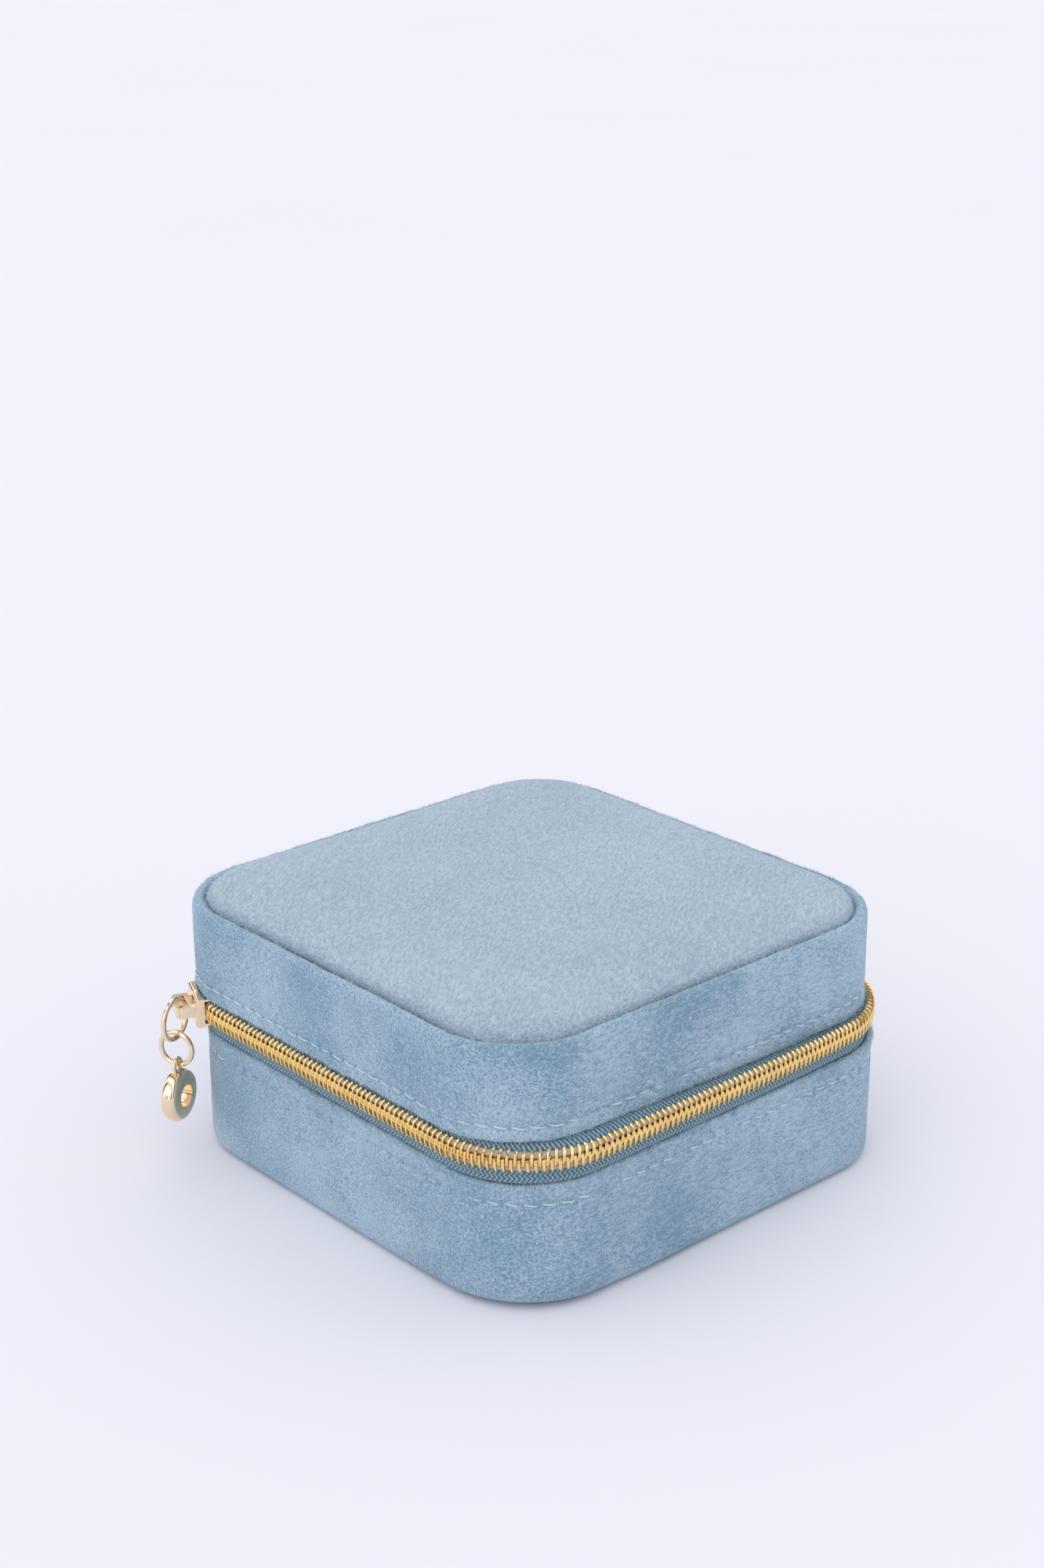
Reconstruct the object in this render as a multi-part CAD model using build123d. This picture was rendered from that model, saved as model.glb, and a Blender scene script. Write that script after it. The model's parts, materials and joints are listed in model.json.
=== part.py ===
from build123d import *
import os
from math import cos, degrees, radians, sin

# Square travel jewelry case: a velvet-covered base and padded lid, joined by a fabric
# hinge at the back and closed by a coil zipper round the other three sides.
# Millimetres. +Z is up, +Y is the hinge side, -Y the front, and the origin is the
# centre of the underside. "inset" is measured inwards from the base's outer face.

os.makedirs("parts", exist_ok=True)

# ---- overall size
case_width = 100.0          # X, over the base's side band
case_depth = 100.0          # Y
corner_radius = 18.0        # plan radius of the outer face
zip_height = 29.7           # centre line of the closed zipper chain
rim_height = 50.0           # top of the lid's side band
crown_rise = 3.6            # top of the padded lid panel, above the rim
lid_shift = (-1.1, 1.7)     # the soft lid sits a little askew on the base, X and Y
touch = 0.05                # gap between pieces glued or sewn face to face

# ---- side bands (velvet on backing)
band_wall = 1.3
band_lip = 4.0              # how far the base's band turns in under the bottom
foot_round = 2.5            # outer rounding at the bottom edge
rim_round = 2.0             # outer rounding at the lid's rim
rim_lip = 2.3               # how far the lid's band turns in over the top
hem_round = 0.5
base_edge_gap = 3.0         # bare tape between the base band's edge and the chain
lid_edge_gap = 0.7          # the same under the lid band's edge

# ---- stiffeners and wadding
board = 2.0
frame_inset = 2.0
wadding_inset = 1.35
wadding = 0.6
frame_edge_gap = 0.4        # frame's edge, back from the band's edge

# ---- linings
lining_wall = 1.05
floor_lining = 1.4
collar_rise = 1.8           # inner wall of the base, above the chain's centre line
collar_gap = 0.5            # between that collar and the lid's lining

# ---- padded lid panel
panel_skin = 1.2
panel_round = 3.8

# ---- mirror
mirror_side = 68.0
mirror_thick = 1.3
mirror_corner = 7.0
mirror_overlap = 3.0        # how far its frame covers its edge
mirror_frame_gap = 1.5      # frame's edge, in from the lid's lining
mirror_frame_thick = 1.3

# ---- inside of the base
partition = 3.0
partition_y = 3.0           # centre of the wall between the trays and the ring rolls
partition_top = 22.0
roll_count = 4
roll_gap = 0.6              # slot for a ring's shank
roll_top = 22.5
divider = 2.6
divider_clearance = 0.2

# ---- zipper, 4 mm coil chain
tape = 0.6
tape_proud = 0.2            # outer face of the tape at the chain, outside the base's face
tape_cover = 5.0            # tape sewn under each band's edge
tape_step = 0.5             # where the upper tape steps across to the skewed lid
chain_width = 4.2
chain_proud = 1.8           # outer face of the coil
chain_play = 0.05           # half gap between the two rows
parting = 0.65              # half gap between the rows ahead of the slider
hinge_end_gap = 2.0         # fabric hinge's end, in from where the corner starts
hinge_cover = 3.5           # inner hinge strip glued to each lining
stop_length = 3.0           # stop clips, degrees along the corner
stop_wall = 0.15
stop_gap = 0.3              # degrees between a clip and the row's end
stop_lead = 1.5             # degrees of open chain between the slider and its stops
far_end = 71.0              # where the chain ends, degrees round the rear right corner

# ---- slider, parked at the rear left corner
slider_angle = 24.5         # its middle, degrees round the corner from the left side
slider_length = 9.0
slider_clearance = 0.18
flange_wall = 0.37
mouth_flare = 0.65          # plate past its flanges, where the rows part
tail_flare = 0.2            # the same where the closed chain leaves
inner_plate_lap = 0.1       # inner plate, past the chain's edge
ledge_clearance = 0.75      # flange edge, out from the tape, past the lid's skewed tape
plate = 1.12
post_half = 0.45
post_length = 2.4
bridge_wide = 2.2
bridge_reach = 3.5
bridge_strap = 0.9
bridge_span = 6.6
bridge_leg = 1.2
bridge_round = 1.3
plate_nose = 1.2            # chamfer on the plate's mouth corners
plate_round = 0.45
weld = 0.3                  # how far joined lumps of the casting run into each other

# ---- pull: two rings and a ring-shaped charm
wire = 1.0
link_gap = 0.15
link_ring_radius = 3.8      # wire centre line of the ring on the slider
link_ring_heading = 202.0   # degrees from +X, the way it stands off the slider
link_ring_droop = 20.0
jump_ring_radius = 3.3
jump_ring_normal = 25.5
charm_normal = -62.0
charm_radius = 5.1
charm_thick = 3.3
charm_hole = 2.25
charm_round = 1.35
eye_radius = 1.3
eye_wire = 0.8

# ---- worked-out places
arc_x = case_width / 2 - corner_radius
arc_y = case_depth / 2 - corner_radius
hinge_width = 2 * (arc_x - hinge_end_gap)
crown_height = rim_height + crown_rise
base_edge = zip_height - chain_width / 2 - base_edge_gap
lid_edge = zip_height + chain_width / 2 + lid_edge_gap
collar_top = zip_height + collar_rise
board_low = band_wall + 0.1
board_top = board_low + board
lining_inset = frame_inset + board + touch
cavity_inset = lining_inset + lining_wall
floor_top = board_top + touch + floor_lining
lid_board_top = rim_height - band_wall - 0.15
lid_board_low = lid_board_top - board
ceiling_low = lid_board_low - touch - floor_lining
lid_lining_low = collar_top + collar_gap
reach = case_width + case_depth


def rectangle(inset):
    """Rounded outline of the case, inset from its outer face."""
    radius = max(corner_radius - inset, 1.0)
    return RectangleRounded(case_width - 2 * inset, case_depth - 2 * inset, radius)


def slab(inset, low, high, shift=(0, 0)):
    """Solid block with the case's outline."""
    return Pos(shift[0], shift[1], low) * extrude(rectangle(inset), high - low)


def wall(outer, inner, low, high, shift=(0, 0)):
    """Ring between two insets."""
    ring = rectangle(outer) - rectangle(inner)
    return Pos(shift[0], shift[1], low) * extrude(ring, high - low)


def round_top(block, radius):
    return fillet(block.edges().group_by(Axis.Z)[-1], radius)


def round_bottom(block, radius):
    return fillet(block.edges().group_by(Axis.Z)[0], radius)


def prism(points, low, high):
    """Upright block over a plan polygon."""
    return Pos(0, 0, low) * extrude(make_face(Polyline(*points, close=True)), high - low)


def round_corner(side, angle):
    """Far point in the direction of an angle round a rear corner; side is -1 left, 1 right."""
    return (side * (arc_x + reach * cos(radians(angle))), arc_y + reach * sin(radians(angle)))


def back_sector(left_angle, right_angle, low, high):
    """Everything behind two rear-corner angles, to trim the zipper's ends."""
    points = [(-arc_x, arc_y), round_corner(-1, left_angle), (-reach, 2 * reach)]
    points += [(reach, 2 * reach), round_corner(1, right_angle), (arc_x, arc_y)]
    return prism(points, low, high)


def left_sector(start, end, low, high):
    """Wedge of the rear left corner between two angles."""
    points = [(-arc_x, arc_y), round_corner(-1, start), round_corner(-1, end)]
    return prism(points, low, high)


def strip(points, thick, width):
    """Fabric strip across the back: a YZ polyline, thickened, and as wide as the hinge."""
    left = [(y - thick / 2, z) for y, z in points]
    right = [(y + thick / 2, z) for y, z in reversed(points)]
    face = make_face(Polyline(*(left + right), close=True))
    return Pos(-width / 2, 0, 0) * extrude(Plane.YZ * face, width)


parts = {}


# ---- base shell
def base_side_band():
    outer = round_bottom(slab(0, 0, base_edge), foot_round)
    inner = round_bottom(slab(band_wall, band_wall, base_edge + 1), foot_round - band_wall)
    band = outer - inner - slab(band_lip, -1, 2 * band_wall)
    return round_top(band, hem_round)


parts["base_side_band"] = base_side_band()
parts["base_bottom_panel"] = slab(band_lip + touch, 0, band_wall)
parts["base_bottom_board"] = round_bottom(slab(board_low, board_low, board_top), foot_round - board_low)
parts["base_side_frame"] = wall(
    frame_inset, frame_inset + board, board_top + touch, base_edge - frame_edge_gap
)
parts["base_wadding"] = wall(
    wadding_inset, wadding_inset + wadding, board_top + touch, base_edge - tape_cover - touch
)

# ---- base interior
parts["base_lining"] = wall(lining_inset, cavity_inset, board_top + touch, collar_top)
parts["base_floor_lining"] = slab(cavity_inset + touch, board_top + touch, floor_top)
cavity = slab(cavity_inset + touch, floor_top, collar_top)
partition_front = partition_y - partition / 2
partition_rear = partition_y + partition / 2
parts["partition_wall"] = cavity & Pos(0, partition_y, 0) * Box(
    case_width, partition, partition_top, align=(Align.CENTER, Align.CENTER, Align.MIN)
)
bay_front = partition_rear + roll_gap
bay_rear = case_depth / 2 - cavity_inset - touch
roll_pitch = (bay_rear - bay_front + roll_gap) / roll_count
roll_width = roll_pitch - roll_gap


def ring_roll(number):
    """Foam roll with a round top, trimmed to the rounded corners of the bay."""
    middle = bay_front + roll_width / 2 + number * roll_pitch
    low = Pos(0, middle, 0) * Box(
        case_width, roll_width, roll_top - roll_width / 2, align=(Align.CENTER, Align.CENTER, Align.MIN)
    )
    top = Pos(0, middle, roll_top - roll_width / 2) * Rot(0, 90, 0) * Cylinder(roll_width / 2, case_width)
    return (low + top) & cavity


for number in range(roll_count):
    parts[f"ring_roll_{number + 1}"] = ring_roll(number)

tray_front = -case_depth / 2 + cavity_inset + divider_clearance
tray_rear = partition_front - divider_clearance
divider_low = floor_top + divider_clearance
parts["tray_divider"] = Pos(0, (tray_front + tray_rear) / 2, divider_low) * Box(
    divider,
    tray_rear - tray_front,
    partition_top - divider_low,
    align=(Align.CENTER, Align.CENTER, Align.MIN),
)


# ---- lid shell
def lid_side_band():
    outer = round_top(slab(0, lid_edge, rim_height, lid_shift), rim_round)
    inner = slab(band_wall, lid_edge - 1, rim_height - band_wall, lid_shift)
    inner = round_top(inner, rim_round - band_wall)
    band = outer - inner - slab(rim_lip, rim_height - 2 * band_wall, rim_height + 1, lid_shift)
    return round_bottom(band, hem_round)


def lid_top_panel():
    outer = round_top(slab(rim_lip + touch, lid_board_top + touch, crown_height, lid_shift), panel_round)
    inner = slab(rim_lip + touch + panel_skin, lid_board_top, crown_height - panel_skin, lid_shift)
    return outer - round_top(inner, panel_round - panel_skin)


pad_inset = rim_lip + 2 * touch + panel_skin
parts["lid_side_band"] = lid_side_band()
parts["lid_top_panel"] = lid_top_panel()
parts["lid_foam_pad"] = round_top(
    slab(pad_inset, lid_board_top + touch, crown_height - panel_skin - touch, lid_shift),
    panel_round - panel_skin,
)
parts["lid_top_board"] = round_top(
    slab(board_low, lid_board_low, lid_board_top, lid_shift), rim_round - band_wall
)
parts["lid_side_frame"] = wall(
    frame_inset, frame_inset + board, lid_edge + frame_edge_gap, lid_board_low - touch, lid_shift
)
parts["lid_wadding"] = wall(
    wadding_inset, wadding_inset + wadding, lid_edge + tape_cover + touch, lid_board_low - touch, lid_shift
)

# ---- lid interior
parts["lid_lining"] = wall(lining_inset, cavity_inset, lid_lining_low, ceiling_low - touch, lid_shift)
parts["lid_ceiling_lining"] = slab(lining_inset, ceiling_low, lid_board_low - touch, lid_shift)
mirror_top = ceiling_low - touch
mirror_low = mirror_top - mirror_thick
frame_top = mirror_low - touch
parts["mirror"] = Pos(lid_shift[0], lid_shift[1], mirror_low) * extrude(
    RectangleRounded(mirror_side, mirror_side, mirror_corner), mirror_thick
)


def mirror_frame():
    """Covered card that holds the mirror's edge, glued to the ceiling around it."""
    inset = cavity_inset + mirror_frame_gap
    card = slab(inset, frame_top - mirror_frame_thick, mirror_top, lid_shift)
    place = Pos(lid_shift[0], lid_shift[1], 0)
    seat_side = mirror_side + 2 * touch
    seat = extrude(RectangleRounded(seat_side, seat_side, mirror_corner), mirror_top + 1 - frame_top)
    window_side = mirror_side - 2 * mirror_overlap
    window = extrude(RectangleRounded(window_side, window_side, mirror_corner - 2), rim_height)
    return card - place * Pos(0, 0, frame_top) * seat - place * window


parts["mirror_frame"] = mirror_frame()

# ---- zipper tapes and chain
tape_inset = tape - tape_proud
behind_hinge = Pos(0, case_depth / 2, 0) * Box(
    hinge_width, 2 * corner_radius, 2 * rim_height, align=(Align.CENTER, Align.CENTER, Align.MIN)
)
half_angle = degrees(slider_length / 2 / (corner_radius + chain_proud))
split_angle = slider_angle + half_angle / 5
tail_end = slider_angle + half_angle + stop_lead
rows_part = prism(
    [
        (-arc_x, arc_y),
        round_corner(-1, split_angle),
        (-reach, 2 * reach),
        (0, 2 * reach),
        (0, arc_y),
    ],
    zip_height - parting,
    zip_height + parting,
)


def lower_tape():
    sewn = wall(wadding_inset, wadding_inset + wadding, base_edge - tape_cover, base_edge + touch)
    step = wall(-tape_proud, wadding_inset + wadding, base_edge + touch, base_edge + tape)
    flat = wall(-tape_proud, tape_inset, base_edge + tape, zip_height - chain_play)
    return sewn + step + flat - behind_hinge - rows_part


def upper_tape():
    step_low = lid_edge - tape_step
    sewn = wall(
        wadding_inset, wadding_inset + wadding, lid_edge - touch, lid_edge + tape_cover, lid_shift
    )
    outer = slab(-tape_proud, step_low, lid_edge - touch)
    outer += slab(wadding_inset, step_low, lid_edge - touch, lid_shift)
    inner = slab(tape_inset, step_low, lid_edge - touch)
    inner &= slab(wadding_inset + wadding, step_low, lid_edge - touch, lid_shift)
    flat = wall(-tape_proud, tape_inset, zip_height + chain_play, step_low)
    return sewn + (outer - inner) + flat - behind_hinge - rows_part


def chain_row(low, high):
    row = wall(-chain_proud, -tape_proud - touch / 2, low, high)
    return row - back_sector(tail_end, far_end, low - 1, high + 1) - rows_part


parts["lower_zip_tape"] = lower_tape()
parts["upper_zip_tape"] = upper_tape()
parts["lower_zip_coil"] = chain_row(zip_height - chain_width / 2, zip_height - chain_play)
parts["upper_zip_coil"] = chain_row(zip_height + chain_play, zip_height + chain_width / 2)

stop_low = zip_height - chain_width / 2 - stop_wall
stop_high = zip_height + chain_width / 2 + stop_wall
stop_ring = wall(-chain_proud - stop_wall, -tape_proud - touch, stop_low, stop_high)
top_stops = stop_ring & left_sector(tail_end + stop_gap, tail_end + stop_gap + stop_length, 0, rim_height)
parts["lower_top_stop"] = top_stops & slab(-reach / 4, 0, zip_height - parting)
parts["upper_top_stop"] = top_stops & slab(-reach / 4, zip_height + parting, rim_height)
right_wedge = left_sector(far_end + stop_gap, far_end + stop_gap + stop_length, 0, rim_height)
parts["bottom_stop"] = stop_ring & mirror(right_wedge, Plane.YZ)

# ---- fabric hinge across the back
base_seat = case_depth / 2 - wadding_inset - wadding / 2
lid_seat = base_seat + lid_shift[1]
parts["hinge_spine"] = strip(
    [
        (base_seat, base_edge - tape_cover),
        (base_seat, base_edge + 0.6),
        (lid_seat, lid_edge - 0.6),
        (lid_seat, lid_edge + tape_cover),
    ],
    wadding,
    hinge_width - 2 * touch,
)
inner_seat = case_depth / 2 - cavity_inset - touch - wadding / 2
inner_lid_seat = inner_seat + lid_shift[1]
parts["hinge_lining"] = strip(
    [
        (inner_seat, collar_top - hinge_cover),
        (inner_seat, collar_top + 0.1),
        (inner_lid_seat, lid_lining_low + 0.9),
        (inner_lid_seat, lid_lining_low + hinge_cover),
    ],
    wadding,
    hinge_width - 2 * touch,
)

# ---- slider: local +X points out of the corner, local +Y along the track to the closed chain
slider_place = Pos(-arc_x, arc_y, zip_height) * Rot(0, 0, 180 - slider_angle)
plate_low = corner_radius + chain_proud + slider_clearance
plate_face = plate_low + plate
tape_back = corner_radius - tape_inset - slider_clearance
slot_face = corner_radius + tape_proud + ledge_clearance
chain_half = chain_width / 2
flange_half = chain_half + slider_clearance + flange_wall
mouth_half = flange_half + mouth_flare
tail_half = flange_half + tail_flare
inner_plate_half = chain_half + inner_plate_lap


def slider_body():
    half = slider_length / 2
    nose = mouth_half - plate_nose
    mouth_end = slider_length / 18
    outline = make_face(
        Polyline(
            (-half, -nose),
            (-half + plate_nose, -mouth_half),
            (mouth_end, -mouth_half),
            (half, -tail_half),
            (half, tail_half),
            (mouth_end, mouth_half),
            (-half + plate_nose, mouth_half),
            (-half, nose),
            close=True,
        )
    )
    outer = Pos(corner_radius, 0, 0) * extrude(Plane.YZ * outline, plate_face - corner_radius)
    outer = fillet(outer.edges().group_by(Axis.X)[-1], plate_round)
    outer -= Cylinder(plate_low, 2 * rim_height)
    flanges = Pos(corner_radius, 0, 0) * Box(
        2 * (plate_low + weld - corner_radius), slider_length - 2 * weld, 2 * flange_half
    )
    flanges -= Cylinder(plate_low + touch, chain_width + 2 * slider_clearance)
    flanges -= Cylinder(slot_face, 2 * rim_height)
    inner = Pos(tape_back, 0, 0) * Box(2 * plate, slider_length - 2 * weld, 2 * inner_plate_half)
    inner &= Cylinder(tape_back, 2 * rim_height)
    post = Pos(tape_back - weld, -half + weld + post_length / 2, 0) * Box(
        plate_low - tape_back + 2 * weld,
        post_length,
        2 * post_half,
        align=(Align.MIN, Align.CENTER, Align.CENTER),
    )
    block = Pos(plate_face - weld, 0, 0) * Box(
        bridge_reach + weld, bridge_span, bridge_wide, align=(Align.MIN, Align.CENTER, Align.CENTER)
    )
    block = fillet(block.edges().filter_by(Axis.Z).group_by(Axis.X)[-1], bridge_round)
    window = Pos(plate_face, 0, 0) * Box(
        bridge_reach - bridge_strap,
        bridge_span - 2 * bridge_leg,
        2 * bridge_wide,
        align=(Align.MIN, Align.CENTER, Align.CENTER),
    )
    window = fillet(window.edges().filter_by(Axis.Z).group_by(Axis.X)[-1], bridge_round / 2)
    return slider_place * (outer + flanges + inner + post + (block - window))


parts["slider_body"] = slider_body()


# ---- pull rings and charm, hanging from the slider's bridge
def heading(angle):
    return Vector(cos(radians(angle)), sin(radians(angle)), 0)


def ring(centre, normal, radius, thick):
    return Plane(origin=centre, z_dir=normal) * Torus(radius, thick / 2)


down = Vector(0, 0, -1)
out_of_corner = heading(180 - slider_angle)
bridge_hole = plate_face + (bridge_reach - bridge_strap) / 2
eyelet = Vector(-arc_x, arc_y, zip_height) + out_of_corner * bridge_hole
droop = radians(link_ring_droop)
link_centre = eyelet + heading(link_ring_heading) * (link_ring_radius * cos(droop))
link_centre = link_centre + down * (link_ring_radius * sin(droop))
link_bottom = link_centre + down * link_ring_radius
jump_centre = link_bottom + down * (jump_ring_radius - wire - link_gap)
jump_bottom = jump_centre + down * jump_ring_radius
eye_centre = jump_bottom + down * (eye_radius - wire / 2 - eye_wire / 2 - link_gap)
charm_centre = eye_centre + down * (eye_radius - eye_wire / 4 + charm_radius)


def charm():
    disc = Cylinder(charm_radius, charm_thick) - Cylinder(charm_hole, 2 * charm_thick)
    rims = disc.edges().filter_by(GeomType.CIRCLE).sort_by(lambda edge: edge.radius)
    disc = fillet(rims[-2:], charm_round)
    disc = Plane(origin=charm_centre, z_dir=heading(charm_normal)) * disc
    return disc + ring(eye_centre, heading(charm_normal), eye_radius, eye_wire)


parts["link_ring"] = ring(link_centre, heading(link_ring_heading + 90), link_ring_radius, wire)
parts["jump_ring"] = ring(jump_centre, heading(jump_ring_normal), jump_ring_radius, wire)
parts["ring_charm"] = charm()

for name, solid in parts.items():
    export_step(solid, f"parts/{name}.step")

hinge_height = (base_edge + lid_edge) / 2
print("lid hinge axis", 0, case_depth / 2, hinge_height)
print("slider axis", -arc_x, arc_y)
print("link ring axis", eyelet)
print("jump ring axis", link_bottom, "along", link_ring_heading - 180)
print("charm axis", jump_bottom, "along", jump_ring_normal - 90)
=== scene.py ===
import json
import random
from math import atan2, ceil, cos, exp, pi, radians, sin, tau

import bmesh
import bpy
from mathutils import Matrix, Vector, noise


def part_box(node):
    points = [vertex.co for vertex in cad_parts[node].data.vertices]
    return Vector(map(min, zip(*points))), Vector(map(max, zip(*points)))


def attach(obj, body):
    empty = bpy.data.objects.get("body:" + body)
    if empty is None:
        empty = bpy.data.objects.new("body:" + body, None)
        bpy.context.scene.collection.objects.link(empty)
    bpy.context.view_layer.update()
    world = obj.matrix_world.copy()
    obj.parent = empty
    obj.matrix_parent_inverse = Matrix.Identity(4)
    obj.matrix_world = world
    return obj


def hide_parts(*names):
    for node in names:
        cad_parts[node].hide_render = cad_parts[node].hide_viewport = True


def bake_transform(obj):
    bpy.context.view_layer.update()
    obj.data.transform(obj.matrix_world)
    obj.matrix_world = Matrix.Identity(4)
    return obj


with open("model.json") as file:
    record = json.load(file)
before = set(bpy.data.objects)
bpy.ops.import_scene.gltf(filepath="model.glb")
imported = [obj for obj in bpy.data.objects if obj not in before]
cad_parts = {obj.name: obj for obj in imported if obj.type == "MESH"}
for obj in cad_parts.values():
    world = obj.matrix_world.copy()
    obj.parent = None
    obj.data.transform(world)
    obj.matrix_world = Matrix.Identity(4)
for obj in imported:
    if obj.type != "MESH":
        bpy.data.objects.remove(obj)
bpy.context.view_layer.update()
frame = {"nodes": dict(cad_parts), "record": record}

# A square zip-round travel jewelry case: velvet bands round a base and a padded lid, a gold
# coil zipper between them, velvet trays and ring rolls inside and a mirror in the lid.
# Metres. +Z is up, +Y the hinge side, -X the side where the slider hangs. "inset" is
# measured inwards from the case's outer face, and "station" anticlockwise along it from
# mid-back.

MM = 0.001

# ---- the case's plan
CORNER = 18 * MM
base_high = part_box("base_side_band")[1]
lid_low, lid_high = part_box("lid_side_band")
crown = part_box("lid_top_panel")[1].z
ARC = base_high.x - CORNER
SIDE = 2 * ARC
QUARTER = CORNER * pi / 2
AROUND = 4 * (SIDE + QUARTER)
# How far the lid sits from square over the base.
SKEW = Vector(((lid_low.x + lid_high.x) / 2, (lid_low.y + lid_high.y) / 2, 0))
SQUARE = Vector((0, 0, 0))
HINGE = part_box("hinge_spine")[1].x  # half the hinge's width
MID_LEFT = 2 * ARC + QUARTER
NEAR_CORNER = 3 * ARC + 1.5 * QUARTER
MID_FRONT = 4 * ARC + 2 * QUARTER
RIGHT_CORNER = 5 * ARC + 2.5 * QUARTER

# ---- the zipper
lower_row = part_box("lower_zip_coil")
upper_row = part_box("upper_zip_coil")
ZIP = (lower_row[1].z + upper_row[0].z) / 2
ROW_REACH = ZIP - lower_row[0].z
ROW_PROUD = lower_row[1].x - base_high.x
PITCH = 1.27 * MM
CHAIN_START = ARC + CORNER * radians(51)
CHAIN_END = 7 * ARC + CORNER * radians(341)
WIRE = 0.29 * MM
TAPE_THICK = 0.55 * MM
NARROW_CUT = 10.2 * MM  # width that a tape or strip is cut to, with its sewn edges

# ---- cloth, board and seams
CLOTH = 1.3 * MM
HEM = 0.62 * MM
CLOTH_FRAMES = 20
BAND_CELLS = {"cells": 96, "corner_cells": 42}
STITCH_PITCH = 3.3 * MM
LID_STITCH = ZIP + 5.4 * MM
BASE_STITCH = ZIP - 9.0 * MM
NEEDLE_ZONE = 1.6 * MM
FURROW = 0.5 * MM
FURROW_WIDTH = 0.6 * MM
STITCH_COUNT = round(AROUND / STITCH_PITCH)
PANEL_INSET = 2.32 * MM
FLANGE_INSET = 2.3 * MM
FLANGE_THICK = 0.35 * MM
REACH = 16 * MM  # how far in a pad is swept before it is filled across


# ======== places along the case
def spot(station):
    """The point at that station on the outer face, and its outward direction."""
    side, rest = divmod((station + ARC) % AROUND, SIDE + QUARTER)
    square = side * pi / 2 + pi / 2
    turn = square + max(0, rest - SIDE) / CORNER
    face = Vector((cos(square), sin(square), 0))
    travel = Vector((-face.y, face.x, 0))
    outward = Vector((cos(turn), sin(turn), 0))
    return face * ARC + travel * (min(rest, SIDE) - ARC) + outward * CORNER, outward


def track(point):
    """The station, inset and outward direction of a point beside the case's wall."""
    core = Vector((max(-ARC, min(ARC, point.x)), max(-ARC, min(ARC, point.y)), 0))
    outward = Vector((point.x, point.y, 0)) - core
    if outward.length < 1e-7:
        return 0, CORNER, Vector((0, 0, 0))
    turn = (atan2(outward.y, outward.x) - pi / 2 + 1e-5) % tau
    side = int(turn / (pi / 2) + 1e-4) % 4
    walk = (-core.x, -core.y, core.x, core.y)[side] + side * SIDE
    return (CORNER * (turn - 1e-5) + walk) % AROUND, CORNER - outward.length, outward.normalized()


def placing(station, out, height, skew=SQUARE, lean=0.0):
    """Puts a small pattern piece on the wall: its X runs along the case, Y outwards, Z up."""
    point, outward = spot(station)
    along = Vector((-outward.y, outward.x, 0))
    up = Vector((0, 0, 1))
    turned = Matrix((along, outward, up)).transposed().to_4x4()
    place = Matrix.Translation(point + outward * out + skew + up * height)
    return place @ turned @ Matrix.Rotation(lean, 4, "Y")


def wobble(station, height, size, seed):
    """Smooth unevenness that closes on itself round the case, from -1 to 1."""
    turn = tau * station / AROUND
    reach = AROUND / tau / size
    return noise.noise(Vector((reach * cos(turn), reach * sin(turn), height / size + seed)))


def clamp(value):
    return min(1, max(0, value))


def hump(station, centre, width):
    """1 at the centre station, fading to 0 along the wall on both sides."""
    away = (station - centre + AROUND / 2) % AROUND - AROUND / 2
    return exp(-((away / width) ** 2))


def drawn(station):
    """How far the lid, which sits a little askew, draws the zipper in at the right corner."""
    return SKEW * 0.85 * hump(station, RIGHT_CORNER, 20 * MM)


def hem_drop(station, height):
    """How much lower the lid's hem hangs along the right of the front, fading upwards."""
    side = hump(station, MID_FRONT + 20 * MM, 40 * MM)
    return 1.6 * MM * side * exp(-max(0, height - lid_low.z) / (4.5 * MM))


# ======== modelling tools
def deselect():
    for other in bpy.context.selected_objects:
        other.select_set(False)


def take(piece):
    """Makes a piece the only one that the operators work on."""
    deselect()
    piece.select_set(True)
    bpy.context.view_layer.objects.active = piece
    return piece


def begin(name):
    """Names the primitive that was just added, with its place moved into its mesh."""
    piece = bpy.context.object
    piece.name = name
    piece.data.name = name
    bpy.ops.object.transform_apply(location=True, rotation=True, scale=True)
    return piece


def pick(edges=None, faces=None):
    """In edit mode, selects the edges or faces that pass a test."""
    mode = "EDGE" if edges else "FACE"
    bpy.ops.mesh.select_mode(type=mode)
    bpy.ops.mesh.select_all(action="DESELECT")
    mesh = bmesh.from_edit_mesh(bpy.context.object.data)
    for item in mesh.edges if edges else mesh.faces:
        if (edges or faces)(item):
            item.select = True
    mesh.select_flush_mode()
    bmesh.update_edit_mesh(bpy.context.object.data)


def settle(merge=None, fill=False):
    """In edit mode: merges close points, fills holes, turns the faces outwards and leaves."""
    bpy.ops.mesh.select_all(action="SELECT")
    if merge:
        bpy.ops.mesh.remove_doubles(threshold=merge)
    if fill:
        bpy.ops.mesh.fill_holes(sides=0)
    bpy.ops.mesh.normals_make_consistent(inside=False)
    bpy.ops.object.mode_set(mode="OBJECT")


def apply_all(piece):
    take(piece)
    for modifier in list(piece.modifiers):
        bpy.ops.object.modifier_apply(modifier=modifier.name)


def smooth(piece, angle=50):
    take(piece)
    bpy.ops.object.shade_smooth_by_angle(angle=radians(angle))


def oval(inset, height, across, up, start, end, steps=6):
    """Outline points along an ellipse: degrees, 0 towards the inside, 90 up."""
    turns = [radians(start + (end - start) * step / steps) for step in range(steps + 1)]
    return [(inset + across * cos(turn), height + up * sin(turn)) for turn in turns]


def wall_line(inset, start, end, spacing):
    """Outline points up or down a straight wall, with its ends left out."""
    count = max(1, ceil(abs(end - start) / spacing))
    return [(inset, start + (end - start) * step / count) for step in range(1, count)]


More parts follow.
